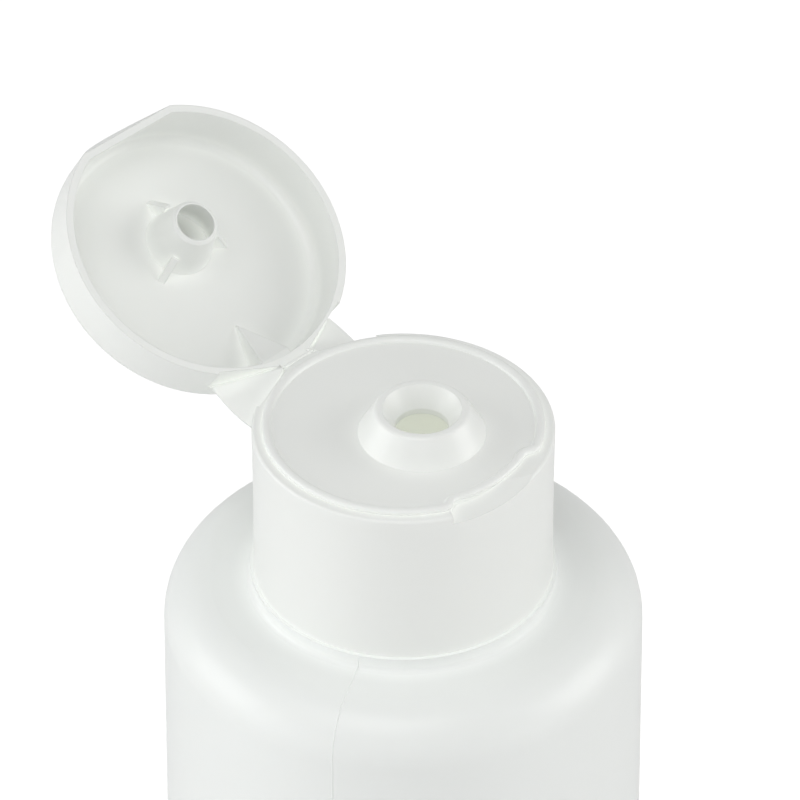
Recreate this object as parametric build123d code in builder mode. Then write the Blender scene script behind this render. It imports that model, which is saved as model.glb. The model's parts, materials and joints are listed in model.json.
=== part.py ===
from build123d import *
import math
import os

# A squeeze bottle for ultrasound gel with a flip-top cap, its lid standing open. Millimetres.
# +Z is up, the origin is the middle of the base, the thumb notch faces -Y and the hinge faces +Y.

os.makedirs("parts", exist_ok=True)

# Bottle body, one blown shell
body_r = 25.5            # outside radius
body_wall = 0.9
body_side_top = 134.8    # where the straight side ends
shoulder_corner_r = 5.2
shoulder_slope = 2.5     # degrees above level
heel_r = 3.5
standing_ring_w = 1.6    # flat ring that the bottle stands on
base_rise = 2.0          # how far the middle of the base is pushed up
collar_h = 1.6           # plain ring below the cap
collar_lip = 0.3         # how far the collar stands out past the skirt
collar_foot_r = 0.5

# Neck finish
neck_r = 12.55           # root of the thread
neck_wall = 1.95
neck_h = 17.2            # from the collar to the mouth
neck_blend_r = 1.5       # between the shoulder's underside and the bore
mouth_edge_r = 0.4

# Closure
thread_room = 1.75       # radial room for the two threads between neck and skirt
skirt_wall = 1.7
skirt_waist = 0.13       # how much slimmer the skirt is half way down
skirt_foot = 0.05        # how much slimmer it is at the bottom
collar_gap = 0.06        # between collar and skirt
deck_wall = 1.2
deck_rise = 0.25         # the deck stands this much above the ledge that carries the lid
bead_h = 0.2             # raised bead along the deck's edge
bead_w = 0.8
ledge_w = 1.15
edge_r = 0.35            # soft outer edge of the ledge
seal_fit = 0.1
seal_wall = 1.0
seal_depth = 3.5
seal_chamfer = 0.3       # lead-in on its tip

# Spout
spout_x = 0.5
spout_y = -2.3
spout_base_r = 6.75
spout_rim_r = 4.95
spout_h = 3.12
spout_rim_edge_r = 0.55
funnel_r = 4.2
orifice_r = 2.8
funnel_depth = 2.2
orifice_land = 0.7
spout_wall = 1.3

# Thumb notch
notch_turn = 2.0         # degrees from -Y towards +X
notch_half = 25.0        # degrees to each side
notch_inset = 1.15
notch_run = 2.0          # degrees to each side over which its ends run in
notch_corner_r = 1.3     # inner corners of the deck's edge
notch_edge_r = 1.3       # and its outer ones
scoop_drop = 0.3         # how far the scoop in the ledge goes down in the notch's middle
scoop_fall = 12.0        # degrees that the scoop falls outwards
scoop_roll = 6.0         # degrees that it falls towards -X, so it runs out towards +X

# Lid
lid_inset = 0.1          # lid wall inside the skirt's outline
lid_draft = 0.15         # how much slimmer the wall is at the top
lid_fit = 0.2            # between the lid's wall and the deck
lid_seat = 0.03          # between the closed lid's rim and the ledge
lid_taper = 0.35         # how much the inside narrows towards the roof
lid_h = 7.2
lid_dome = 0.6
lid_corner_r = 2.0
lid_inner_corner_r = 0.9
roof_wall = 0.9          # at its edge, thicker in the middle under the dome
lip_wall = 0.8
lip_inset = 1.3          # how far inside the round wall the thumb lip's flat face lies at the rim
lip_h = 4.4              # height at which the flat face meets the round wall

# Plug in the lid
plug_root_r = 3.9
plug_fit = 0.2
plug_wall = 0.5
plug_tip_z = 0.6         # height of its tip above the ledge when closed
plug_edge_r = 0.3
fin_count = 3
fin_turn = 30.0
fin_reach = 1.6
fin_h = 2.4
fin_w = 0.8

# Rib behind the hinge inside the lid
rib_reach = 6.55         # from the lid's wall to its pointed end
rib_flat = 1.15          # the part of it that has its full width and height
rib_end_z = 2.7
rib_edge = 0.3

# Butterfly hinge
hinge_stand = 0.2        # the hinge line lies this far outside the skirt
hinge_drop = 0.3         # and this far below the ledge
open_angle = 147.4
hinge_half = 2.2         # half the width of the middle film
wing_turn = 32.0         # degrees from +Y to the wings' outer corners
wing_t = 0.4
wing_gap = 0.4
wing_back = 0.2          # between a folded wing and the lid's wall behind it
wing_bow = 0.3
film_r = 0.2
film_gap = 0.12
tab_face_h = 0.65        # height of the tabs' straight face
tab_foot = 1.95          # and of the whole tab, with the slope that runs back into the wall
tab_side_gap = 0.3       # between the tabs and the wings' inner ends

# Heights and radii that follow
shoulder_rad = math.radians(shoulder_slope)
neck_bore_r = neck_r - neck_wall
skirt_r = neck_r + thread_room + skirt_wall
cap_bore_r = neck_r + thread_room
collar_r = skirt_r + collar_lip
shoulder_r = min(shoulder_corner_r, (body_r - collar_r) * 0.7)
shoulder_run = body_r - shoulder_r + shoulder_r * math.sin(shoulder_rad)
shoulder_z = body_side_top + shoulder_r * math.cos(shoulder_rad)
collar_z = shoulder_z + (shoulder_run - collar_r) * math.tan(shoulder_rad)
collar_top = collar_z + collar_h
neck_top = collar_top + neck_h
skirt_z = collar_top + collar_gap
ledge_z = neck_top + deck_wall
deck_z = ledge_z + deck_rise
deck_r = skirt_r - ledge_w
spout_top = deck_z + spout_h
lid_r = skirt_r - lid_inset
lid_bore_r = deck_r + lid_fit
roof_z = lid_h - lid_dome - roof_wall
roof_r = lid_bore_r - lid_taper
lip_reach = lid_r - lip_inset
hinge_y = skirt_r + hinge_stand
tab_half = hinge_half - tab_side_gap
plug_tip_r = orifice_r - plug_fit

# The lid's own frame: the ledge's frame turned about the hinge line until the lid stands open
open_rad = math.radians(open_angle)
ledge_frame = Plane((0, 0, ledge_z))
lid_frame = Plane(
    origin=(
        0,
        hinge_y - hinge_y * math.cos(open_rad) + hinge_drop * math.sin(open_rad),
        ledge_z - hinge_drop + hinge_y * math.sin(open_rad) + hinge_drop * math.cos(open_rad),
    ),
    x_dir=(1, 0, 0),
    z_dir=(0, math.sin(open_rad), math.cos(open_rad)),
)


def placed(frame, plane):
    # a plane given in the coordinates of a frame
    return Plane(frame.location * plane.location)


def on_lid(x, y, z):
    return lid_frame.from_local_coords((x, y, z))


# The butterfly hinge's wings: each is a triangle between the middle film's end, a corner on the skirt and one on
# the lid. Both outer corners lie as far from the film's end with the lid open as with it closed, so the hinge snaps.
wing_rad = math.radians(wing_turn)
corner_x = skirt_r * math.sin(wing_rad)
corner_y = skirt_r * math.cos(wing_rad)
corner_drop = (hinge_y - corner_y) * math.tan(math.radians(90 - open_angle / 4))
wing_run = math.hypot(corner_x - hinge_half, hinge_y - corner_y)
closed_wing = Plane(
    origin=(hinge_half, hinge_y, -hinge_drop),
    x_dir=(corner_x - hinge_half, corner_y - hinge_y, 0),
    z_dir=(corner_y - hinge_y, hinge_half - corner_x, 0),
)


def wing_room(frame, depth):
    # the space that both folded wings take up in a frame, from a depth inside their middle outwards
    with BuildPart() as room:
        with BuildSketch(placed(frame, closed_wing.offset(depth))):
            with BuildLine():
                Polyline((0, 0), (wing_run, -corner_drop), (wing_run, corner_drop), close=True)
            make_face()
            offset(amount=wing_gap, kind=Kind.ARC)
        extrude(amount=-depth - skirt_wall)
        mirror(about=Plane.YZ)
    return room.part


# Bottle
with BuildPart() as bottle:
    ring_in = body_r - heel_r - standing_ring_w
    with BuildSketch(Plane.XZ):
        with BuildLine():
            TangentArc((0, base_rise), (ring_in, 0), tangent=(1, 0))
            Line((ring_in, 0), (body_r - heel_r, 0))
            CenterArc((body_r - heel_r, heel_r), heel_r, -90, 90)
            Line((body_r, heel_r), (body_r, body_side_top))
            CenterArc((body_r - shoulder_r, body_side_top), shoulder_r, 0, 90 - shoulder_slope)
            Polyline(
                (shoulder_run, shoulder_z), (collar_r, collar_z), (collar_r, collar_top), (neck_r, collar_top),
                (neck_r, neck_top), (0, neck_top), (0, base_rise)
            )
        make_face()
    revolve(axis=Axis.Z)
    collar_edges = [edge for edge in bottle.edges().filter_by(GeomType.CIRCLE) if abs(edge.radius - collar_r) < 0.01]
    fillet(ShapeList(collar_edges).sort_by(Axis.Z)[0], collar_foot_r)
    fillet(bottle.edges().group_by(Axis.Z)[-1], mouth_edge_r)

    # The hollow, one wall inside the outside
    inner_r = body_r - body_wall
    inner_heel = heel_r - body_wall
    inner_corner = shoulder_r - body_wall
    inner_run = inner_r - inner_corner + inner_corner * math.sin(shoulder_rad)
    inner_shoulder = body_side_top + inner_corner * math.cos(shoulder_rad)
    bore_foot = inner_shoulder + (inner_run - neck_bore_r) * math.tan(shoulder_rad)
    with BuildSketch(Plane.XZ) as hollow:
        with BuildLine():
            TangentArc((0, base_rise + body_wall), (ring_in, body_wall), tangent=(1, 0))
            Line((ring_in, body_wall), (inner_r - inner_heel, body_wall))
            CenterArc((inner_r - inner_heel, body_wall + inner_heel), inner_heel, -90, 90)
            Line((inner_r, body_wall + inner_heel), (inner_r, body_side_top))
            CenterArc((inner_r - inner_corner, body_side_top), inner_corner, 0, 90 - shoulder_slope)
            Polyline(
                (inner_run, inner_shoulder), (neck_bore_r, bore_foot), (neck_bore_r, neck_top), (0, neck_top),
                (0, base_rise + body_wall)
            )
        make_face()
        fillet(hollow.vertices().sort_by_distance((neck_bore_r, bore_foot, 0))[0], neck_blend_r)
    revolve(axis=Axis.Z, mode=Mode.SUBTRACT)
bottle.part.label = "bottle"

# Thumb notch: the deck's edge steps back there, and a scoop runs down into the ledge
notch_r = deck_r - notch_inset
notch_mid = (notch_r + skirt_r) / 2
notch_face = Plane(Location((0, 0, ledge_z), (0, 0, notch_turn)))
scoop_floor = placed(notch_face, Plane(Location((0, -notch_mid, -scoop_drop), (scoop_fall, -scoop_roll, 0))))
with BuildPart() as scoop:
    with BuildSketch(Plane.XY.offset(neck_top)) as notch_shape:
        with BuildLine():
            reach = skirt_r + ledge_w
            inner_half = notch_half - notch_run
            outer_half = notch_half + notch_run
            middle = 270 + notch_turn
            CenterArc((0, 0), notch_r, middle - inner_half, 2 * inner_half)
            CenterArc((0, 0), reach, middle - outer_half, 2 * outer_half)
            for side in (-1, 1):
                near = math.radians(middle + side * inner_half)
                far = math.radians(middle + side * outer_half)
                Polyline(
                    (notch_r * math.cos(near), notch_r * math.sin(near)),
                    (deck_r * math.cos(far), deck_r * math.sin(far)),
                    (reach * math.cos(far), reach * math.sin(far)),
                )
        make_face()
        fillet(notch_shape.vertices().sort_by_distance((0, 0, 0))[:2], notch_corner_r)
    extrude(amount=deck_wall + deck_rise)
    split(bisect_by=scoop_floor, keep=Keep.TOP)
with BuildSketch() as deck_shape:
    Circle(deck_r)
    add(notch_shape.sketch.moved(Location((0, 0, -neck_top))), mode=Mode.SUBTRACT)
    deck_corners = [corner for corner in deck_shape.vertices() if corner.Y < -notch_r / 2]
    fillet([corner for corner in deck_corners if abs(math.hypot(corner.X, corner.Y) - deck_r) < 0.01], notch_edge_r)

# Closure
with BuildPart() as closure:
    with BuildSketch(Plane.XZ) as closure_shape:
        with BuildLine():
            Polyline(
                (skirt_r - skirt_foot, skirt_z), (cap_bore_r, skirt_z), (cap_bore_r, neck_top), (0, neck_top),
                (0, ledge_z), (skirt_r, ledge_z)
            )
            ThreePointArc(
                (skirt_r, ledge_z), (skirt_r - skirt_waist, (skirt_z + ledge_z) / 2), (skirt_r - skirt_foot, skirt_z)
            )
        make_face()
        fillet(closure_shape.vertices().sort_by_distance((skirt_r, ledge_z, 0))[0], edge_r)
    revolve(axis=Axis.Z)
    add(scoop.part, mode=Mode.SUBTRACT)

    # Deck, with the bead along its edge
    with BuildSketch(Plane.XY.offset(ledge_z)):
        add(deck_shape.sketch)
    extrude(amount=deck_rise)
    with BuildSketch(Plane.XY.offset(ledge_z)):
        add(deck_shape.sketch)
        offset(amount=-bead_w, mode=Mode.SUBTRACT)
    extrude(amount=deck_rise + bead_h)

    # Seal ring that plugs the neck's mouth
    seal_r = neck_bore_r - seal_fit
    with BuildSketch(Plane.XY.offset(neck_top - seal_depth)):
        Circle(seal_r)
        Circle(seal_r - seal_wall, mode=Mode.SUBTRACT)
    extrude(amount=seal_depth)
    seal_edges = closure.edges().filter_by(GeomType.CIRCLE).group_by(Axis.Z)
    seal_tip = [group for group in seal_edges if abs(group[0].center().Z - neck_top + seal_depth) < 0.01][0]
    chamfer(seal_tip, seal_chamfer)

    # Spout with its funnel, and the hollow under it that keeps its wall even
    spout_section = Plane((spout_x, spout_y, 0), x_dir=(1, 0, 0), z_dir=(0, -1, 0))
    spout_axis = Axis((spout_x, spout_y, 0), (0, 0, 1))
    with BuildSketch(spout_section) as spout_shape:
        with BuildLine():
            Polyline(
                (0, neck_top), (spout_base_r, neck_top), (spout_base_r, deck_z), (spout_rim_r, spout_top),
                (0, spout_top), close=True
            )
        make_face()
        fillet(spout_shape.vertices().sort_by_distance((spout_rim_r, spout_top, 0))[0], spout_rim_edge_r)
    revolve(axis=spout_axis)
    with BuildSketch(spout_section):
        with BuildLine():
            land_z = spout_top - funnel_depth - orifice_land
            Polyline(
                (0, spout_top), (funnel_r, spout_top), (orifice_r, spout_top - funnel_depth), (orifice_r, land_z),
                (spout_base_r - spout_wall, neck_top), (0, neck_top), close=True
            )
        make_face()
    revolve(axis=spout_axis, mode=Mode.SUBTRACT)

    # Recesses that the folded wings lie in, and the tab that carries the hinge's film
    add(wing_room(ledge_frame, wing_t / 2 + wing_gap), mode=Mode.SUBTRACT)
    tab_top = ledge_z - hinge_drop - film_gap
    tab_root = cap_bore_r + skirt_wall / 2
    with BuildSketch(Plane.YZ.offset(-tab_half)):
        with BuildLine():
            Polyline(
                (tab_root, tab_top), (hinge_y, tab_top), (hinge_y, tab_top - tab_face_h),
                (skirt_r - skirt_waist, tab_top - tab_foot), (tab_root, tab_top - tab_foot), close=True
            )
        make_face()
        with Locations((hinge_y, ledge_z - hinge_drop)):
            Circle(film_r)
    extrude(amount=2 * tab_half)
closure.part.label = "closure"

# Lid, drawn in its own frame, where Z runs from its rim to its roof
lid_section = placed(lid_frame, Plane.XZ)
lid_side = placed(lid_frame, Plane.YZ)
lid_axis = Axis(lid_frame.origin, lid_frame.z_dir)
lid_shoulder = lid_h - lid_dome

# Space inside the lid, with the flat wall behind the thumb lip
with BuildPart() as lid_room:
    with BuildSketch(lid_section) as room_shape:
        with BuildLine():
            Polyline((0, lid_seat), (lid_bore_r, lid_seat), (roof_r, roof_z), (0, roof_z), close=True)
        make_face()
        fillet(room_shape.vertices().sort_by_distance((roof_r, roof_z, 0))[0], lid_inner_corner_r)
    revolve(axis=lid_axis)
    with BuildSketch(lid_side.offset(-lid_r)):
        with BuildLine():
            Polyline(
                (lip_wall - lip_reach, 0), (lip_wall - lid_r, lip_h), (-2 * lid_r, lip_h), (-2 * lid_r, 0), close=True
            )
        make_face()
    extrude(amount=2 * lid_r, mode=Mode.SUBTRACT)

# Rib that stiffens the lid's wall between the two wings
with BuildPart() as rib:
    rib_root = lid_bore_r + lid_fit / 2
    rib_start = rib_root - rib_reach
    rib_end = rib_root - rib_flat
    rib_seat = roof_z + roof_wall / 4
    with BuildSketch(lid_frame):
        with BuildLine():
            Polyline(
                (0, rib_start), (tab_half, rib_end), (tab_half, rib_root), (-tab_half, rib_root), (-tab_half, rib_end),
                close=True
            )
        make_face()
    extrude(amount=rib_seat)
    with BuildSketch(lid_side.offset(-tab_half)):
        with BuildLine():
            Polyline(
                (rib_start, rib_seat), (rib_start, roof_z - rib_edge), (rib_end, rib_end_z),
                (rib_root, rib_end_z), (rib_root, rib_seat), close=True
            )
        make_face()
    extrude(amount=2 * tab_half, mode=Mode.INTERSECT)

# Hollow plug for the spout, with small fins round its root
plug_frame = placed(lid_frame, Plane((spout_x, spout_y, 0)))
plug_seat = roof_z + roof_wall / 2
with BuildPart() as plug:
    for fin in range(fin_count):
        fin_frame = placed(plug_frame, Plane(Location((0, 0, 0), (0, 0, fin_turn + fin * 360 / fin_count))))
        with BuildSketch(placed(fin_frame, Plane.XZ).offset(-fin_w / 2)):
            with BuildLine():
                Polyline(
                    (plug_root_r - plug_wall, plug_seat), (plug_root_r + fin_reach, plug_seat),
                    (plug_root_r + fin_reach, roof_z), (plug_root_r - plug_wall / 2, roof_z - fin_h),
                    (plug_root_r - plug_wall, roof_z - fin_h), close=True
                )
            make_face()
        extrude(amount=fin_w)
    with BuildSketch(placed(plug_frame, Plane.XZ)):
        with BuildLine():
            Polyline(
                (0, plug_seat), (plug_root_r, plug_seat), (plug_tip_r, plug_tip_z + plug_edge_r),
                (plug_tip_r - plug_edge_r, plug_tip_z), (0, plug_tip_z), close=True
            )
        make_face()
    revolve(axis=Axis(plug_frame.origin, plug_frame.z_dir))
    with BuildSketch(placed(plug_frame, Plane.XZ)):
        with BuildLine():
            Polyline(
                (0, roof_z), (plug_root_r - plug_wall, roof_z), (plug_tip_r - plug_wall, plug_tip_z),
                (0, plug_tip_z), close=True
            )
        make_face()
    revolve(axis=Axis(plug_frame.origin, plug_frame.z_dir), mode=Mode.SUBTRACT)

with BuildPart() as lid:
    with BuildSketch(lid_section) as lid_shape:
        with BuildLine():
            Polyline((0, lid_h), (0, lid_seat), (lid_r, lid_seat), (lid_r - lid_draft, lid_shoulder))
            TangentArc((0, lid_h), (lid_r - lid_draft, lid_shoulder), tangent=(1, 0))
        make_face()
        fillet(lid_shape.vertices().sort_by_distance((lid_r - lid_draft, lid_shoulder, 0))[0], lid_corner_r)
    revolve(axis=lid_axis)
    with BuildSketch(lid_side.offset(-lid_r)):
        with BuildLine():
            Polyline((-lip_reach, 0), (-lid_r, lip_h), (-2 * lid_r, lip_h), (-2 * lid_r, 0), close=True)
        make_face()
    extrude(amount=2 * lid_r, mode=Mode.SUBTRACT)
    add(lid_room.part, mode=Mode.SUBTRACT)
    add(rib.part)
    add(plug.part)

    # Notches that the folded wings lie in, and the tab that meets the closure's at the film
    add(wing_room(lid_frame, wing_t / 2 + wing_back), mode=Mode.SUBTRACT)
    lid_tab = film_r + film_gap - hinge_drop
    with BuildSketch(lid_side.offset(-tab_half)):
        with BuildLine():
            Polyline(
                (rib_root, lid_tab), (hinge_y, lid_tab), (hinge_y, lid_tab + tab_face_h),
                (lid_r - lid_draft, lid_tab + tab_foot), (rib_root, lid_tab + tab_foot), close=True
            )
        make_face()
    extrude(amount=2 * tab_half)
lid.part.label = "lid"

# Wings, in the place they have with the lid open
wings = []
for side, name in ((-1, "hinge_wing_left"), (1, "hinge_wing_right")):
    film_end = Vector(side * hinge_half, hinge_y, ledge_z - hinge_drop)
    skirt_corner = Vector(side * corner_x, corner_y, ledge_z - hinge_drop - corner_drop)
    lid_corner = on_lid(side * corner_x, corner_y, corner_drop - hinge_drop)
    outwards = ((skirt_corner + lid_corner) * 0.5 - film_end).normalized()
    wing_plane = Plane(
        origin=film_end,
        x_dir=skirt_corner - film_end,
        z_dir=(skirt_corner - film_end).cross(lid_corner - film_end),
    )
    with BuildPart() as wing:
        with BuildSketch(wing_plane):
            with BuildLine():
                near = wing_plane.to_local_coords(skirt_corner)
                far = wing_plane.to_local_coords(lid_corner)
                bowed = wing_plane.to_local_coords((skirt_corner + lid_corner) * 0.5 + outwards * wing_bow)
                Line((0, 0), near)
                ThreePointArc(near, bowed, far)
                Line(far, (0, 0))
            make_face()
        extrude(amount=wing_t / 2, both=True)
        # round edge along the lower film, which the wing folds about
        with BuildSketch(Plane(origin=film_end, z_dir=skirt_corner - film_end)):
            Circle(wing_t / 2)
        extrude(amount=(skirt_corner - film_end).length)
    wing.part.label = name
    wings.append(wing.part)

export_step(bottle.part, "parts/bottle.step")
export_step(closure.part, "parts/closure.step")
export_step(lid.part, "parts/lid.step")
for part in wings:
    export_step(part, f"parts/{part.label}.step")
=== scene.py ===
import json
import math

import bmesh
import bpy
from mathutils import Matrix, Vector


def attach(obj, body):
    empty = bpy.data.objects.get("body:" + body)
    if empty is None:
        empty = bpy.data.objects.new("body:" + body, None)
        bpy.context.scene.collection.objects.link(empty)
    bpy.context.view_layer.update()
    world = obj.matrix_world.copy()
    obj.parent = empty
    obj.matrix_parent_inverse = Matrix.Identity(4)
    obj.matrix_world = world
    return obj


# White squeeze bottle for ultrasound gel, its flip-top lid standing open. Lengths in metres.
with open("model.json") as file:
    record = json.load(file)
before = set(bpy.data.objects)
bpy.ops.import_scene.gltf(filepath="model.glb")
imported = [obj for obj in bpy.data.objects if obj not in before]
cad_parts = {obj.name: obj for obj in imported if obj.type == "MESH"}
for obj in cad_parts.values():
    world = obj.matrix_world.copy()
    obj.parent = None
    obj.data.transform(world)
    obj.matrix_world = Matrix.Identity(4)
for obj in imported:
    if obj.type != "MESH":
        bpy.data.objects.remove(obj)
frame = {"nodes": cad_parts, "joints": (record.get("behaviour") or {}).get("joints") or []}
nodes = frame["nodes"]
joints = {joint["name"]: joint for joint in frame["joints"]}
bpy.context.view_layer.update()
mm = 0.001

hingePoint = Vector(joints["lid_hinge"]["pos_m"])
lidTravel = math.radians(joints["lid_hinge"]["range_deg"][1])
foldUnderLedge = 0.3 * mm
ledgeTop = hingePoint.z + foldUnderLedge
print("frame loaded:", ", ".join(sorted(nodes)))


# Shader sums written as plain expressions
class Wire:
    def __init__(self, finish, socket):
        self.finish = finish
        self.socket = socket

    def sums(self, operation, first, second):
        return self.finish.node("Math", {"operation": operation}, {0: first, 1: second})

    def __add__(self, other):
        return self.sums("ADD", self, other)

    def __radd__(self, other):
        return self.sums("ADD", other, self)

    def __sub__(self, other):
        return self.sums("SUBTRACT", self, other)

    def __rsub__(self, other):
        return self.sums("SUBTRACT", other, self)

    def __mul__(self, other):
        return self.sums("MULTIPLY", self, other)

    def __rmul__(self, other):
        return self.sums("MULTIPLY", other, self)

    def below(self, limit):
        return self.sums("LESS_THAN", self, limit)


# One material or world; node() adds any node and hands back its first output, or the named one
class Finish:
    def __init__(self, name, owner=None):
        self.owner = owner or bpy.data.materials.new(name)
        self.owner.use_nodes = True
        self.tree = self.owner.node_tree
        self.tree.nodes.clear()

    def node(self, kind, settings=None, sockets=None, output=0):
        made = self.tree.nodes.new("ShaderNode" + kind)
        for name, value in (settings or {}).items():
            setattr(made, name, value)
        for name, value in (sockets or {}).items():
            if isinstance(value, Wire):
                self.tree.links.new(value.socket, made.inputs[name])
            else:
                made.inputs[name].default_value = value
        return Wire(self, made.outputs[output]) if len(made.outputs) else made

    def mixColours(self, factor, first, second):
        return self.node("Mix", {"data_type": "RGBA"}, {0: factor, 6: first, 7: second}, output=2)

    def finishOff(self, shader):
        self.node("OutputMaterial", {}, {"Surface": shader})
        return self.owner


# The camera, as far and as high as the photographer stood
photo = {
    "azimuth": -44.0,
    "elevation": 38.7,
    "distance": 1.1,
    "lens": 471.0,
    "sensor": 36.0,
    "pixels": 800,
    "hingeRight": 3.3,       # pixels from the frame's middle to the bottle's axis at the hinge's height
    "hingeBelow": 28.4,
    "clipEnd": 20,
}


def facing(azimuth, elevation):
    turn, rise = math.radians(azimuth), math.radians(elevation)
    return Vector((math.sin(turn) * math.cos(rise), -math.cos(turn) * math.cos(rise), math.sin(rise)))


towardsCamera = facing(photo["azimuth"], photo["elevation"])
cameraData = bpy.data.cameras.new("photoCamera")
cameraData.lens = photo["lens"]
cameraData.sensor_width = photo["sensor"]
cameraData.shift_x = -photo["hingeRight"] / photo["pixels"]
cameraData.shift_y = photo["hingeBelow"] / photo["pixels"]
cameraData.clip_end = photo["clipEnd"]
camera = bpy.data.objects.new("photoCamera", cameraData)
bpy.context.scene.collection.objects.link(camera)
camera.location = Vector((0, 0, hingePoint.z)) + towardsCamera * photo["distance"]
camera.rotation_mode = "QUATERNION"
camera.rotation_quaternion = (-towardsCamera).to_track_quat("-Z", "Y")
bpy.context.scene.camera = camera
bpy.context.scene.view_settings.view_transform = "Standard"

# The studio: soft boxes round the bottle, a pale room and a white sweep
studio = {
    "roomLight": 0.45,
    "roomColour": (1.0, 1.0, 1.0),
    "floorColour": (0.86, 0.86, 0.86),
    "floorSize": 12.0,
    "floorShare": 0.45,      # how much of the floor's own shading the camera sees
    "floorGlow": 1.4,        # the white that the camera sees in place of the rest
    "boxDistance": 1.3,
    "boxes": {               # azimuth, elevation, width, height, watts, colour
        "leftBox": (-134, 15, 0.9, 0.9, 5.2, (0.99, 1.0, 1.0)),
        "rightBox": (46, 15, 0.9, 0.9, 5.8, (1.0, 0.995, 0.985)),
        "highBox": (-60, 60, 0.9, 0.9, 5.0, (1.0, 1.0, 1.0)),
        "cameraBox": (-44, 10, 0.9, 0.9, 1.4, (1.0, 1.0, 1.0)),
        "leftLowBox": (-100, 5, 0.9, 0.9, 1.5, (1.0, 1.0, 1.0)),
    },
}


def softBox(name, azimuth, elevation, width, height, watts, colour):
    lampData = bpy.data.lights.new(name, "AREA")
    lampData.shape = "RECTANGLE"
    lampData.size = width
    lampData.size_y = height
    lampData.energy = watts
    lampData.color = colour
    lamp = bpy.data.objects.new(name, lampData)
    bpy.context.scene.collection.objects.link(lamp)
    lamp.location = Vector((0, 0, hingePoint.z)) + facing(azimuth, elevation) * studio["boxDistance"]
    lamp.rotation_mode = "QUATERNION"
    lamp.rotation_quaternion = (-facing(azimuth, elevation)).to_track_quat("-Z", "Y")


for boxName, boxValues in studio["boxes"].items():
    softBox(boxName, *boxValues)

bpy.context.scene.world = bpy.data.worlds.new("paleRoom")
room = Finish("paleRoom", owner=bpy.context.scene.world)
seen = room.node("LightPath", output="Is Camera Ray")
lit = room.node("Background", {}, {"Color": (*studio["roomColour"], 1), "Strength": studio["roomLight"]})
white = room.node("Background", {}, {"Color": (1, 1, 1, 1), "Strength": 1.0})
roomShade = room.node("MixShader", {}, {0: seen, 1: lit, 2: white})
room.node("OutputWorld", {}, {"Surface": roomShade})

floorMesh = bpy.data.meshes.new("floor")
half = studio["floorSize"] / 2
floorCorners = [(-half, -half, 0), (half, -half, 0), (half, half, 0), (-half, half, 0)]
floorMesh.from_pydata(floorCorners, [], [(0, 1, 2, 3)])
floorObject = bpy.data.objects.new("floor", floorMesh)
bpy.context.scene.collection.objects.link(floorObject)
sweep = Finish("whiteSweep")
floorSeen = sweep.node("LightPath", output="Is Camera Ray")
matt = sweep.node("BsdfDiffuse", {}, {"Color": (*studio["floorColour"], 1)})
glow = sweep.node("Emission", {}, {"Color": (1, 1, 1, 1), "Strength": studio["floorGlow"]})
floorShade = sweep.node("MixShader", {}, {0: floorSeen * (1 - studio["floorShare"]), 1: matt, 2: glow})
floorMesh.materials.append(sweep.finishOff(floorShade))
print("camera and studio set")

# The plastics: what both share first, then the blown bottle's and the moulded cap's own values
plastic = {
    "clouds": {"Scale": 70.0, "Detail": 3.0},        # faint drifts of tone
    "peel": {"Scale": 900.0, "Detail": 2.0},         # the skin's fine waves
    "scuffs": {"Scale": 2400.0, "Detail": 4.0},      # uneven gloss
    "paintedGlowSamples": 6,
    "edgeSamples": 4,
    "ior": 1.5,
    "tint": (1.0, 0.97, 0.9),                        # red travels farthest in the plastic
    "glowUnderLedge": 1.0,                           # millimetres, as the next two are
    "ridgeEdge": 0.02,
    "filmEdge": 0.05,
}
bottleLook = {
    "colour": (0.868, 0.888, 0.872),
    "shade": (0.848, 0.868, 0.85),
    "gloss": 0.34,
    "glossSpread": 0.07,
    "orangePeel": 0.012,
    "through": 0.12,         # share of the light that goes into the plastic
    "depth": 1.0,            # how far it travels there, in millimetres
    "edge": 0.08,            # millimetres: how softly the edges shine
    "paintedGlowShare": 0.21,            # share of painted glow (emission) in crevices, standing in for light that comes through the plastic
    "paintedGlowReach": 2.2,        # millimetres
    "paintedGlowColour": (0.90, 0.92, 0.89),
    "paintedInsideGlow": (0.155, 0.156, 0.136),   # painted glow inside the bottle, standing in for daylight that the thin shell lets in
    "glowRadius": 24.9,      # millimetres: the hollow of the body, then of the neck
    "glowNeck": 11.4,
    "glowFrom": 3.6,
    "glowShoulder": 133.5,
}
capLook = {
    "colour": (0.876, 0.892, 0.868),
    "shade": (0.856, 0.872, 0.846),
    "gloss": 0.30,
    "glossSpread": 0.06,
    "orangePeel": 0.006,
    "through": 0.12,
    "depth": 1.0,
    "edge": 0.14,
    # painted glow in crevices, as on the bottle
    "paintedGlowShare": 0.24,
    "paintedGlowReach": 2.2,
    "paintedGlowColour": (0.90, 0.92, 0.88),
    # painted glow inside the closure's hollow under the deck
    "paintedInsideGlow": (0.155, 0.156, 0.136),
    "glowRadius": 10.55,
    "glowNeck": 10.55,
    "glowFrom": 150.0,
    "glowShoulder": 159.3,
}


# Painted glow: the inner surfaces of the hollows emit a faint light, standing in for daylight let through the
# thin walls
def paintedHollowGlow(finish, place, look, paintedCreviceGlow):
    # where a point is nearer to the axis than the hollow's wall, and between its two heights
    level = finish.node("SeparateXYZ", {}, {"Vector": place}, output="Z")
    flat = finish.node("VectorMath", {"operation": "MULTIPLY"}, {0: place, 1: (1, 1, 0)})
    radius = finish.node("VectorMath", {"operation": "LENGTH"}, {0: flat}, output="Value")
    inBody = radius.below(look["glowRadius"] * mm) * level.below(look["glowShoulder"] * mm)
    inNeck = radius.below(look["glowNeck"] * mm) * (1 - level.below(look["glowShoulder"] * mm))
    underDeck = level.below(ledgeTop - plastic["glowUnderLedge"] * mm)
    hollow = inBody * (1 - level.below(look["glowFrom"] * mm)) + inNeck * underDeck
    return finish.mixColours(hollow, paintedCreviceGlow, (*look["paintedInsideGlow"], 1))


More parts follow.
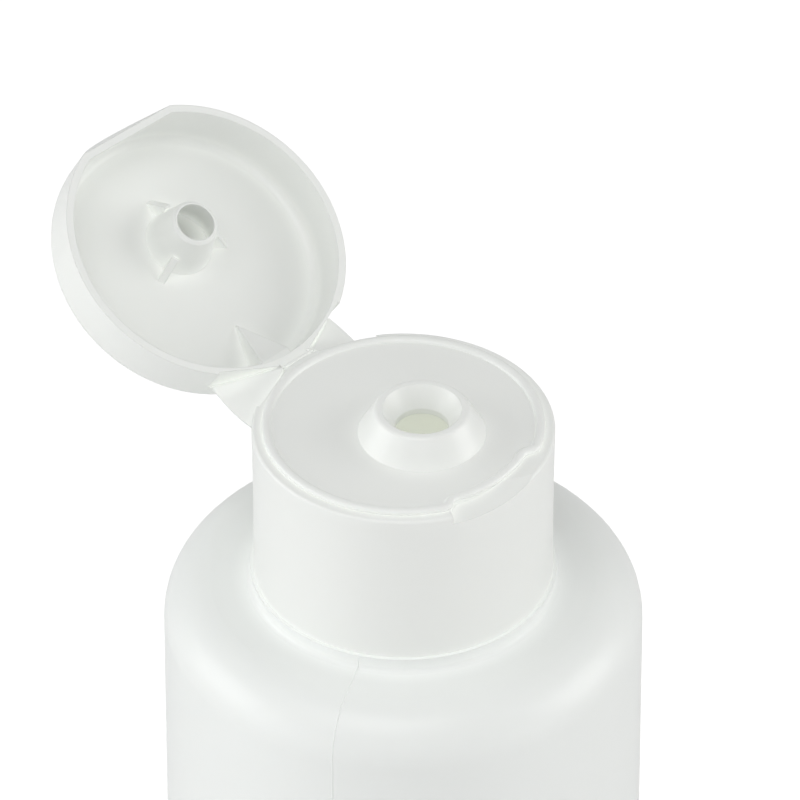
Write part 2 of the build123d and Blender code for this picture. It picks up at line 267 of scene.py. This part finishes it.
def whitePlastic(name, look, glows=False):
    finish = Finish(name)
    place = finish.node("TexCoord", output="Object")
    clouds = finish.node("TexNoise", {}, {"Vector": place, **plastic["clouds"]}, output="Fac")
    peel = finish.node("TexNoise", {}, {"Vector": place, **plastic["peel"]}, output="Fac")
    scuffs = finish.node("TexNoise", {}, {"Vector": place, **plastic["scuffs"]}, output="Fac")
    colour = finish.mixColours(clouds, (*look["colour"], 1), (*look["shade"], 1))
    gloss = look["gloss"] + (scuffs - 0.5) * look["glossSpread"]     # the noise lies about 0.5
    paintedGlowReach = look["paintedGlowReach"] * mm
    # Painted glow: crevices and tight places emit light, more the closer the walls around them, standing in
    # for light let through the plastic
    openness = finish.node(
        "AmbientOcclusion", {"samples": plastic["paintedGlowSamples"]}, {"Distance": paintedGlowReach}, output="AO",
    )
    paintedCreviceGlow = finish.mixColours((1 - openness) * look["paintedGlowShare"], (0, 0, 0, 1), (*look["paintedGlowColour"], 1))
    softEdge = finish.node("Bevel", {"samples": plastic["edgeSamples"]}, {"Radius": look["edge"] * mm})
    bump = finish.node("Bump", {}, {
        "Height": peel, "Strength": look["orangePeel"], "Distance": mm, "Normal": softEdge,
    })
    shader = finish.node("BsdfPrincipled", {"subsurface_method": "RANDOM_WALK"}, {
        "Base Color": colour,
        "Roughness": gloss,
        "IOR": plastic["ior"],
        "Subsurface Weight": look["through"],
        "Subsurface Radius": plastic["tint"],
        "Subsurface Scale": look["depth"] * mm,
        "Normal": bump,
        # the emission carries the painted glow of crevices, and of the hollows where glows is set
        "Emission Color": paintedHollowGlow(finish, place, look, paintedCreviceGlow) if glows else paintedCreviceGlow,
        "Emission Strength": 1.0,
    })
    return finish.finishOff(shader)


bottlePlastic = whitePlastic("blownPolyethylene", bottleLook, glows=True)
capPlastic = whitePlastic("mouldedPolypropylene", capLook)
closurePlastic = whitePlastic("closurePolypropylene", capLook, glows=True)
ridgePlastic = whitePlastic("mouldSeam", {**bottleLook, "edge": plastic["ridgeEdge"]})
filmPlastic = whitePlastic("thinFilm", {**capLook, "edge": plastic["filmEdge"]})
for name, node in nodes.items():
    node.data.materials.clear()
    node.data.materials.append({"bottle": bottlePlastic, "closure": closurePlastic}.get(name, capPlastic))
print("plastics on the frame")


# Pieces that Blender adds: a mesh, the body it rides on, and its plastic
def addPiece(name, shape, body, material):
    bmesh.ops.recalc_face_normals(shape, faces=shape.faces)
    mesh = bpy.data.meshes.new(name)
    shape.to_mesh(mesh)
    shape.free()
    for face in mesh.polygons:
        face.use_smooth = True
    mesh.materials.append(material)
    piece = bpy.data.objects.new(name, mesh)
    bpy.context.scene.collection.objects.link(piece)
    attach(piece, body)


def joinRings(shape, first, second):
    for here in range(len(first)):
        there = (here + 1) % len(first)
        shape.faces.new((first[here], first[there], second[there], second[here]))


def skinRows(shape, rows):
    # closed rings of points one after the other, with a face over each end
    for first, second in zip(rows, rows[1:]):
        joinRings(shape, first, second)
    shape.faces.new(rows[0])
    shape.faces.new(rows[-1])


# Threads of the neck and of the cap, about half a pitch apart; both start at the same turn, in degrees
threads = {
    "pitch": 4.23 * mm,
    "turns": 1.5,
    "steps": 108,
    "taper": 0.09,           # share of the length over which each end rises
    "endHeight": 0.04,       # share of the full height at the very end
    "endWidth": 0.5,
    "profile": (             # up and down in millimetres, outwards as a share of the height
        (-0.95, -0.12), (-0.62, 0.25), (-0.3, 0.9), (-0.12, 1.0),
        (0.12, 1.0), (0.3, 0.9), (0.62, 0.25), (0.95, -0.12),
    ),
    "neck": {"root": 12.55 * mm, "crest": 13.65 * mm, "foot": 148.9 * mm, "start": 35.0},
    "cap": {"root": 14.3 * mm, "crest": 13.15 * mm, "foot": 146.7 * mm, "start": 35.0},
}


def threadShape(values):
    shape = bmesh.new()
    rows = []
    height = values["crest"] - values["root"]
    for step in range(threads["steps"] + 1):
        share = step / threads["steps"]
        rise = math.sin(min(1.0, share / threads["taper"], (1 - share) / threads["taper"]) * math.pi / 2)
        swell = threads["endHeight"] + (1 - threads["endHeight"]) * rise
        spread = threads["endWidth"] + (1 - threads["endWidth"]) * swell
        turn = math.radians(values["start"]) + share * threads["turns"] * 2 * math.pi
        level = values["foot"] + share * threads["turns"] * threads["pitch"]
        row = []
        for up, out in threads["profile"]:
            radius = values["root"] + height * (out * swell if out > 0 else out)
            across = Vector((math.cos(turn), math.sin(turn), 0)) * radius
            row.append(shape.verts.new(across + Vector((0, 0, level + up * mm * spread))))
        rows.append(row)
    skinRows(shape, rows)
    return shape


addPiece("neckThread", threadShape(threads["neck"]), "bottle", bottlePlastic)
addPiece("capThread", threadShape(threads["cap"]), "closure", capPlastic)
print("threads made")

# The mould's parting line: a fine ridge up both sides of the bottle and the pinched seam under its base
partingLine = {
    "azimuth": -61.0,
    "height": 0.045 * mm,
    "width": 0.26 * mm,
    "sink": 0.03 * mm,
    "middle": 100.0 * mm,    # the rays aim at this height on the axis
    "rayStart": 300.0 * mm,
    "lowest": -75.2,         # degrees at which the ridge starts above the standing ring
    "highest": 68.6,
    "steps": 620,
    "seamReach": 17.5 * mm,
    "seamHeight": 0.3 * mm,
    "seamWidth": 0.8 * mm,
    "seamSteps": 40,
    "seamRayFrom": -50.0 * mm,
    "seamRayTo": 10.0 * mm,
}


def ridgeShape(hits, height, width):
    # the ridge lies along the surface; its crown is a third as wide as its foot
    shape = bmesh.new()
    rows = []
    turn = math.radians(partingLine["azimuth"])
    sideways = Vector((math.cos(turn), math.sin(turn), 0))
    for place, normal in hits:
        rows.append([
            shape.verts.new(place - sideways * width / 2 - normal * partingLine["sink"]),
            shape.verts.new(place - sideways * width / 6 + normal * height),
            shape.verts.new(place + sideways * width / 6 + normal * height),
            shape.verts.new(place + sideways * width / 2 - normal * partingLine["sink"]),
        ])
    skinRows(shape, rows)
    return shape


def firstHit(node, start, aim):
    found, place, normal, face = node.ray_cast(start, (aim - start).normalized())
    return place, normal


aim = Vector((0, 0, partingLine["middle"]))
for sideName, azimuth in (("front", partingLine["azimuth"]), ("rear", partingLine["azimuth"] + 180)):
    ridgeHits = []
    for step in range(partingLine["steps"] + 1):
        share = step / partingLine["steps"]
        rise = partingLine["lowest"] + share * (partingLine["highest"] - partingLine["lowest"])
        ridgeHits.append(firstHit(nodes["bottle"], aim + facing(azimuth, rise) * partingLine["rayStart"], aim))
    ridge = ridgeShape(ridgeHits, partingLine["height"], partingLine["width"])
    addPiece(sideName + "PartingLine", ridge, "bottle", ridgePlastic)

seamHits = []
for step in range(partingLine["seamSteps"] + 1):
    share = 2 * step / partingLine["seamSteps"] - 1
    onSeam = facing(partingLine["azimuth"], 0) * partingLine["seamReach"] * share
    under = onSeam + Vector((0, 0, partingLine["seamRayFrom"]))
    seamHits.append(firstHit(nodes["bottle"], under, onSeam + Vector((0, 0, partingLine["seamRayTo"]))))
seam = ridgeShape(seamHits, partingLine["seamHeight"], partingLine["seamWidth"])
addPiece("baseSeam", seam, "bottle", ridgePlastic)
print("parting line made")

# The rounded bead along the deck's edge, over the flat one of the moulded solid
deckBead = {
    "level": 0.3 * mm,       # above the ledge, where the rays look for the deck's edge
    "deck": 0.25 * mm,       # the deck's top above the ledge
    "inset": 0.4 * mm,       # from the deck's edge to the bead's middle
    "steps": 720,
    "reach": 2,              # steps to each side from which the edge's direction is taken
    "rayStart": 30.0 * mm,
    "profile": (             # outwards and upwards, in millimetres
        (0.44, -0.24), (0.47, 0.06), (0.43, 0.2), (0.34, 0.29), (0.17, 0.34), (0.0, 0.355), (-0.17, 0.34),
        (-0.34, 0.28), (-0.46, 0.17), (-0.54, 0.05), (-0.6, -0.03),
    ),
}
edgePoints = []
for step in range(deckBead["steps"]):
    outside = facing(360 * step / deckBead["steps"], 0) * deckBead["rayStart"]
    outside.z = ledgeTop + deckBead["level"]
    edgePoints.append(firstHit(nodes["closure"], outside, Vector((0, 0, outside.z)))[0])
beadShape = bmesh.new()
beadRows = []
for step, place in enumerate(edgePoints):
    after = edgePoints[(step + deckBead["reach"]) % len(edgePoints)]
    before = edgePoints[step - deckBead["reach"]]
    outwards = (after - before).cross(Vector((0, 0, 1))).normalized()
    outwards = outwards if outwards.dot(place) > 0 else -outwards
    beadMiddle = place - outwards * deckBead["inset"]
    beadMiddle.z = ledgeTop + deckBead["deck"]
    beadRows.append([
        beadShape.verts.new(beadMiddle + outwards * out * mm + Vector((0, 0, up * mm)))
        for out, up in deckBead["profile"]
    ])
for row, following in zip(beadRows, beadRows[1:] + beadRows[:1]):
    joinRings(beadShape, row, following)
addPiece("deckBead", beadShape, "closure", filmPlastic)
print("deck bead made")

# Thin films that the butterfly hinge folds about, drawn with the lid shut and then opened with it
web = {
    "filmHalf": 2.2 * mm,
    "cornerX": 8.4787 * mm,  # the wing's outer corner, where its fold ends
    "cornerY": 13.5688 * mm,
    "cornerDrop": 3.5108 * mm,
    "thickness": 0.26 * mm,
    "lap": 0.12 * mm,        # onto the wing
    "lapShare": 0.4,         # of the thickness, where the film runs out on the wing
    "bite": 0.5 * mm,        # past the fold, into the wall
    "steps": 14,
    "skirtR": 15.9 * mm,
    "lidR": 15.72 * mm,
    "middleHalf": 1.9 * mm,
    "middleShares": (-1.0, -0.96, -0.5, 0.0, 0.5, 0.96, 1.0),
    "middleEnd": 0.8,        # share of the depth that the outermost rows keep
    "middleProfile": (       # outwards and upwards, in millimetres
        (-0.15, -0.12), (-0.02, -0.14), (-0.01, 0.05), (-0.02, 0.42), (-0.15, 0.42),
    ),
}
shutToOpen = (
    Matrix.Translation(hingePoint) @ Matrix.Rotation(-lidTravel, 4, "X") @ Matrix.Translation(-hingePoint)
)


def filmShape(side, upwards, wallR):
    # a strip along one fold line, from the wing's edge into the wall, thinner towards the wing
    start = Vector((side * web["filmHalf"], hingePoint.y, hingePoint.z))
    end = Vector((side * web["cornerX"], web["cornerY"], hingePoint.z + upwards * web["cornerDrop"]))
    fold = (end - start).normalized()
    depthways, sidewards = hingePoint.y - web["cornerY"], web["cornerX"] - web["filmHalf"]
    outwards = Vector((side * depthways, sidewards, 0)).normalized()
    away = fold.cross(outwards)
    away = away if away.z * upwards > 0 else -away
    skin = outwards * web["thickness"] / 2
    thin = skin * web["lapShare"]
    shape = bmesh.new()
    rows = []
    for step in range(web["steps"] + 1):
        onFold = start.lerp(end, step / web["steps"])
        lapped = onFold - away * web["lap"]
        inWall = onFold + away * web["bite"]
        reach = math.hypot(inWall.x, inWall.y)
        if reach > wallR:
            inWall = Vector((inWall.x * wallR / reach, inWall.y * wallR / reach, inWall.z))
        points = (lapped - thin, lapped + thin, onFold + skin, inWall + skin, inWall - skin, onFold - skin)
        rows.append([shape.verts.new(point) for point in points])
    skinRows(shape, rows)
    return shape


for side, sideName in ((-1, "left"), (1, "right")):
    lower = filmShape(side, -1, web["skirtR"])
    addPiece(sideName + "LowerFilm", lower, "closure", filmPlastic)
    upper = filmShape(side, 1, web["lidR"])
    upper.transform(shutToOpen)
    addPiece(sideName + "UpperFilm", upper, "lid", filmPlastic)

middle = bmesh.new()
middleRows = []
for share in web["middleShares"]:
    drawnIn = web["middleEnd"] if abs(share) == 1.0 else 1.0
    middleRows.append([
        middle.verts.new(hingePoint + Vector((share * web["middleHalf"], out * mm * drawnIn, up * mm)))
        for out, up in web["middleProfile"]
    ])
skinRows(middle, middleRows)
middle.transform(shutToOpen)
addPiece("middleFilm", middle, "lid", filmPlastic)
print("hinge films made")
